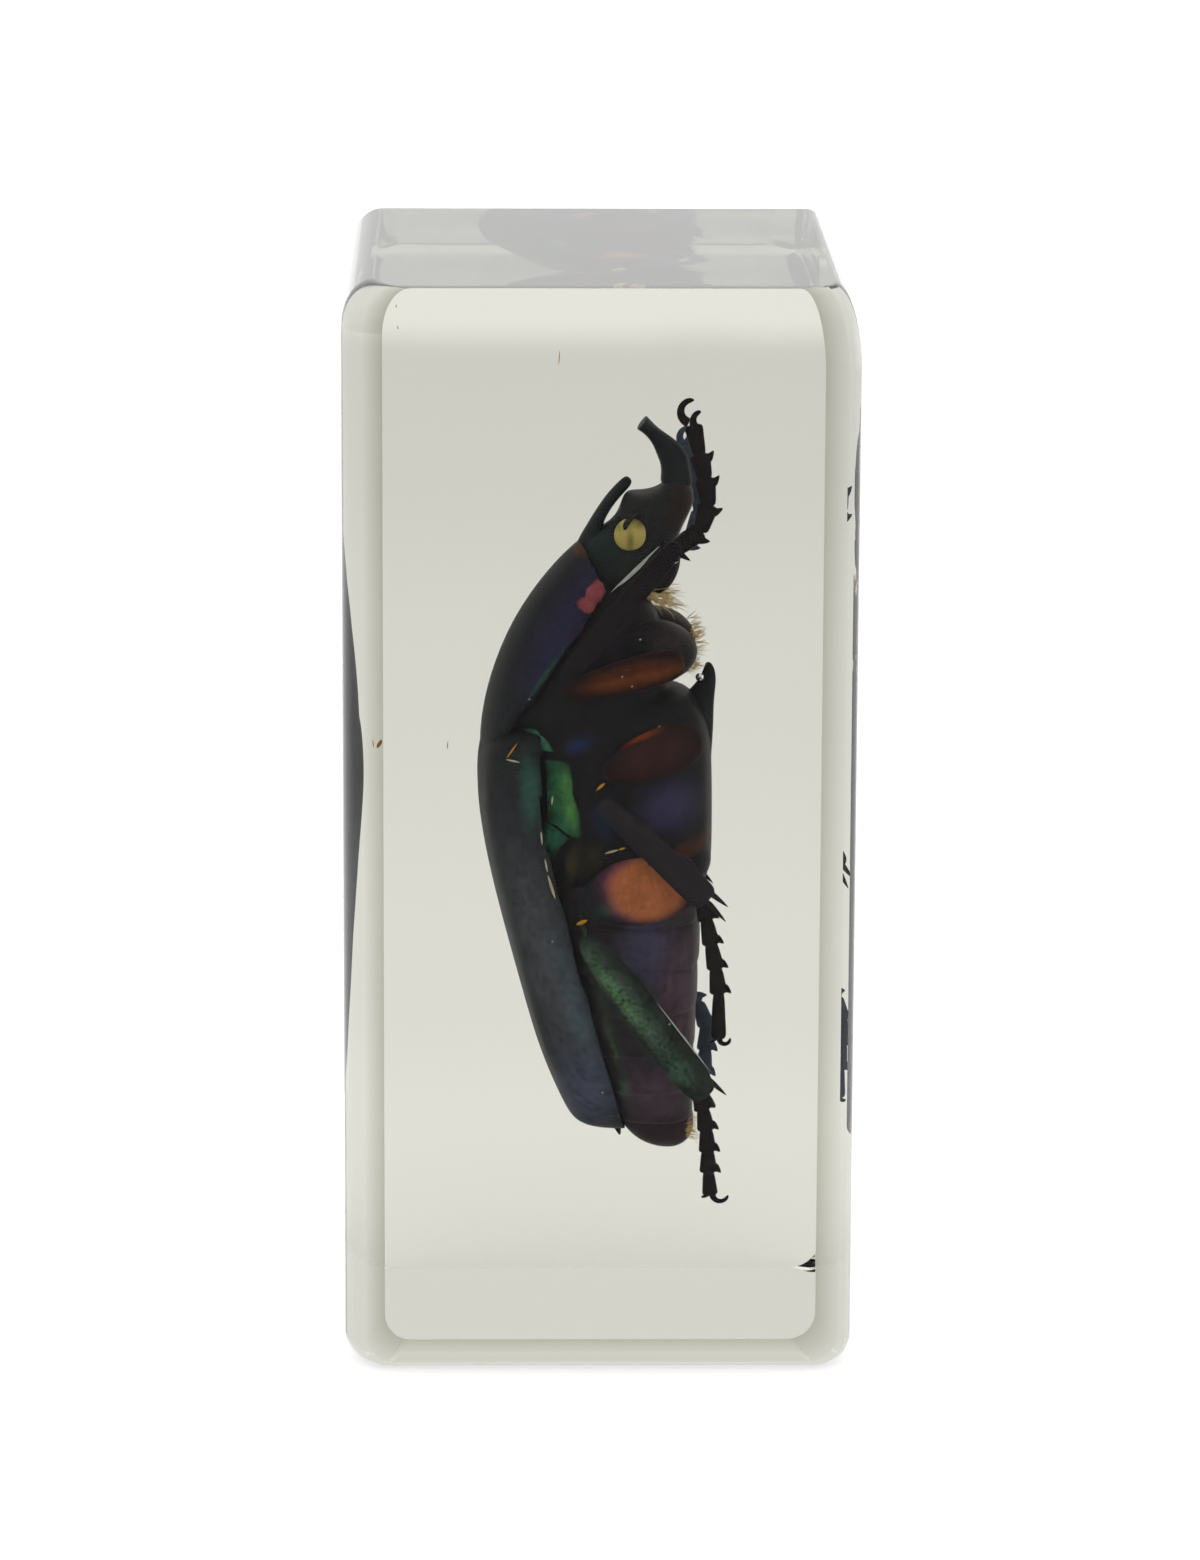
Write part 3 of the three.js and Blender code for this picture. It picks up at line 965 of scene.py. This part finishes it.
thigh_chitin = {
    "front": chitin(
        "front thigh chitin, orange-brown", "#241718",
        [(1.7, 35.3, 3.1, 0.75, -10, "#4c2612", 0.5), (2.0, 35.25, 2.6, 0.32, -10, "#6c391a", 0.9)],
        drift_mm=0.1, mottle=0.4,
    ),
    "middle": chitin(
        "middle thigh chitin, red-brown", "#271b1c",
        [(2.8, 31.3, 2.1, 1.25, -16, "#38211d", 0.7), (2.0, 32.15, 1.4, 0.24, -20, "#8a4018", 0.9)],
        drift_mm=0.12,
    ),
    "hind": chitin(
        "hind thigh chitin, orange-red", "#23242a",
        [
            (0.6, 23.4, 0.9, 0.5, -20, "#2f4534", 0.9), (2.3, 24.4, 2.35, 2.0, 12, "#6e3a55", 0.45),
            (2.5, 24.2, 2.15, 1.75, 12, "#b76c44", 0.3),
        ],
        grain_mm=0.1, drift_mm=0.16,
    ),
}
shin_chitin = {
    "front": chitin("front shin chitin, black-brown", "#1e1b1d"),
    "middle": chitin("middle shin chitin, black", "#2b282b"),
    "hind": chitin(
        "hind shin chitin, black-green", "#272c29",
        [(1.4, 18.6, 0.75, 4.4, -37, "#43534a", 0.8), (1.1, 18.7, 0.42, 2.9, -37, "#4c6e4d", 0.9),
         (4.1, 14.9, 0.7, 1.5, -37, "#3a5244", 0.8)],
        mottle=1.0, grain_mm=0.09,
    ),
}
foot_chitin = {
    "right": chitin("foot chitin, brown-black", "#201a1c"),
    # The far feet take a lighter copy of the foot chitin, a painted highlight, as the same chitin is brown-black
    # on the near feet.
    "left": chitin("foot chitin, blue-black", "#465265"),
}
for pair, near in LEGS.items():
    far = LEGS_LEFT[pair]
    hip = limb(f"{pair}_hip_right", *near["hip"], facing=(1, 0, 0), sides=16)
    thigh = limb(f"{pair}_thigh_right", *near["thigh"], sides=16)
    settle_pair(hip, hip_chitin)
    settle_pair(thigh, thigh_chitin[pair])
    for side, leg in (("right", near), ("left", far)):
        shank = shin(f"{pair}_shin_{side}", *leg["shin"], leg["spurs"], leg["teeth"])
        settle(shank, shin_chitin[pair])
        width, teeth = near["foot_width"], near["foot_teeth"]
        sole = foot(f"{pair}_foot_{side}", leg["foot"], width, teeth, leg["claws"])
        settle(sole, foot_chitin[side])

# --------------------
# The bristles. Fringes of fine golden hair stand under the chin, along the front hips, at the joint behind
# them and round the tail plate.
FRINGES = {
    # from, to, which way it points, length, number
    "chin_fringe": ((2.2, -2.2, 39.2), (3.2, -1.8, 38.6), (0.9, -0.1, -0.3), 1.6, 60),
    "hip_fringe": ((4.7, -2.2, 37.2), (5.05, -2.4, 36.0), (0.9, 0, 0.3), 0.7, 40),
    "joint_fringe": ((4.5, -1.6, 35.0), (4.9, -1.6, 35.4), (0.8, -0.1, 0), 0.65, 30),
    "tail_fringe": ((4.2, -1.9, 11.2), (4.7, -1.8, 10.3), (0.9, -0.1, -0.1), 0.9, 60),
}


def two_tone(name, dark, light, fineness, roughness, ior):
    """Thin dried stuff whose two tones cloud into each other, such as bristle, and also bright slivers of painted
    glint and highlight.
    """
    material, tree, place = new_material(name)
    cloud = add_node(tree, "TexNoise", {"Vector": place, "Scale": fineness})
    blend = add_node(tree, "Mix", {
        "Factor": cloud.outputs["Fac"], "A": hex_to_linear(dark), "B": hex_to_linear(light),
    }, data_type="RGBA")
    shader = add_node(tree, "BsdfPrincipled", {
        "Base Color": blend.outputs["Result"], "Roughness": roughness, "IOR": ior,
    })
    add_node(tree, "OutputMaterial", {"Surface": shader.outputs["BSDF"]})
    return material


hair_finish = two_tone("bristle, golden chitin thread", "#d3a040", "#fff0bc", 3000.0, 0.5, 1.1)
chance = random.Random(7)
one_hair = claw((0, 0, 0), 0, 0.024, 1.6, 30, steps=5, sides=4)
hair_length = 0.84
for name, (start, end, way, length, count) in FRINGES.items():
    for side, sign in (("right", 1), ("left", -1)):
        hairs = []
        for _ in range(count):
            root = Vector(start).lerp(Vector(end), chance.random())
            lean = Vector(way).normalized() + Vector([chance.uniform(-0.35, 0.35) for _ in range(3)])
            hair = copy_of(one_hair, "hair")
            size = length * chance.uniform(0.6, 1.1) / hair_length
            hair.scale = (1, 1, size)
            hair.rotation_euler = (lean.to_track_quat("Z", "X") @ Matrix.Rotation(
                chance.uniform(0, 6.28), 3, "Z").to_quaternion()).to_euler()
            hair.location = (root + Vector([chance.uniform(-0.12, 0.12) for _ in range(3)])) * MM
            hairs.append(hair)
        fringe = join(f"{name}_{side}", hairs)
        bpy.ops.object.transform_apply()
        if sign < 0:
            fringe.data.transform(Matrix.Scale(-1, 4, (0, 1, 0)))
            fringe.data.flip_normals()
        settle(fringe, hair_finish)
bpy.data.objects.remove(one_hair)

# --------------------
# Caught in the resin. Bright slivers, pale or amber, at the joints are painted glints, and silvery lines along the
# shins and under the head are painted highlights. A few specks of dust and short amber fibres float in the clear
# resin.
# Painted glints: bright slivers set where light glints at the joints.
PALE_GLINT_SLIVERS = [
    # from, to, half thickness
    ((-4.75, -7.2, 31.1), (-4.0, -7.3, 30.95), 0.06), ((0.3, -8.0, 26.3), (1.0, -8.0, 26.5), 0.07),
    ((-2.95, -7.3, 27.5), (-2.85, -7.3, 26.5), 0.07), ((-2.75, -7.3, 26.0), (-2.6, -7.3, 25.2), 0.06),
    ((-2.6, -7.3, 25.1), (-2.2, -7.3, 23.8), 0.09), ((-2.35, -7.2, 29.2), (-2.4, -7.2, 28.7), 0.05),
]
# Painted highlights: silvery lines where light catches the shin edges and the underside of the head.
SILVER_HIGHLIGHT_SLIVERS = [
    ((0.5, -7.3, 39.7), (3.1, -7.1, 42.2), 0.07), ((0.95, -7.2, 40.05), (2.5, -7.1, 41.55), 0.12),
    ((2.9, -8.0, 18.6), (5.9, -7.8, 14.6), 0.05), ((3.45, -3.2, 40.55), (4.1, -3.0, 40.85), 0.04),
    ((2.5, -3.2, 39.2), (3.35, -3.2, 40.4), 0.035),
]
AMBER_GLINT_SLIVERS = [
    ((-4.7, -7.2, 31.15), (-4.15, -7.2, 31.95), 0.05), ((-0.15, -8.1, 29.6), (0.3, -8.1, 30.0), 0.08),
    ((1.0, -8.0, 26.5), (1.35, -8.0, 26.6), 0.06), ((-1.15, -7.9, 22.55), (-0.55, -7.9, 22.8), 0.12),
]
SPECKS = [(-2.4, -7.6, 21.6), (1.6, -8.2, 35.0), (1.1, -8.2, 35.5), (3.0, -8.0, 32.9), (2.0, -8.0, 37.4),
          (0.2, -7.6, 13.6), (3.6, -8.0, 17.3), (4.5, -7.0, 24.8), (-3.6, -7.2, 34.2)]
SPECK_LENGTH = Vector((0.1, 0, 0.05))
SPECK_THICKNESS = 0.055
FIBRES = [((-2.0, 0, 51.4), (-2.05, 0, 50.6)), ((-7.7, 0, 31.1), (-7.75, 0, 30.6)),
          ((-10.3, 0, 53.75), (-10.3, 0, 53.55)), ((-10.25, 0, 52.65), (-10.2, 0, 52.45))]
FIBRE_THICKNESS = 0.03
SLIVER_FORM = [(0, 0.1, 0.1), (0.3, 0.9, 0.6), (0.7, 1.0, 0.6), (1.0, 0.1, 0.1)]


def thread(start, end, half_thickness, sides):
    """A short thread or grain from one place to another."""
    sections = [(share, wide * half_thickness, thick * half_thickness) for share, wide, thick in SLIVER_FORM]
    return limb("thread", start, end, sections, sides=sides, levels=1)


# The pale and amber films paint glints on the slivers. The pale one also colours the dust specks, and the amber
# one the fibres.
pale = two_tone("painted glint and dust, pale", "#857a5c", "#e6dec2", 1800.0, 0.4, 1.12)
amber = two_tone("painted glint and fibre, amber", "#a5661c", "#e3ab33", 1800.0, 0.4, 1.12)
silver = two_tone("painted highlight, silvery", "#5e6664", "#dfe6e3", 1800.0, 0.4, 1.12)
for name, slivers, film in (
    ("pale_painted_glints", PALE_GLINT_SLIVERS, pale), ("amber_painted_glints", AMBER_GLINT_SLIVERS, amber),
    ("silver_painted_highlights", SILVER_HIGHLIGHT_SLIVERS, silver),
):
    settle(join(name, [thread(*sliver, 8) for sliver in slivers]), film)
specks = [thread(p, Vector(p) + SPECK_LENGTH, SPECK_THICKNESS, 6) for p in SPECKS]
settle(join("dust_specks", specks), pale)
settle(join("dust_fibres", [thread(*ends, FIBRE_THICKNESS, 6) for ends in FIBRES]), amber)
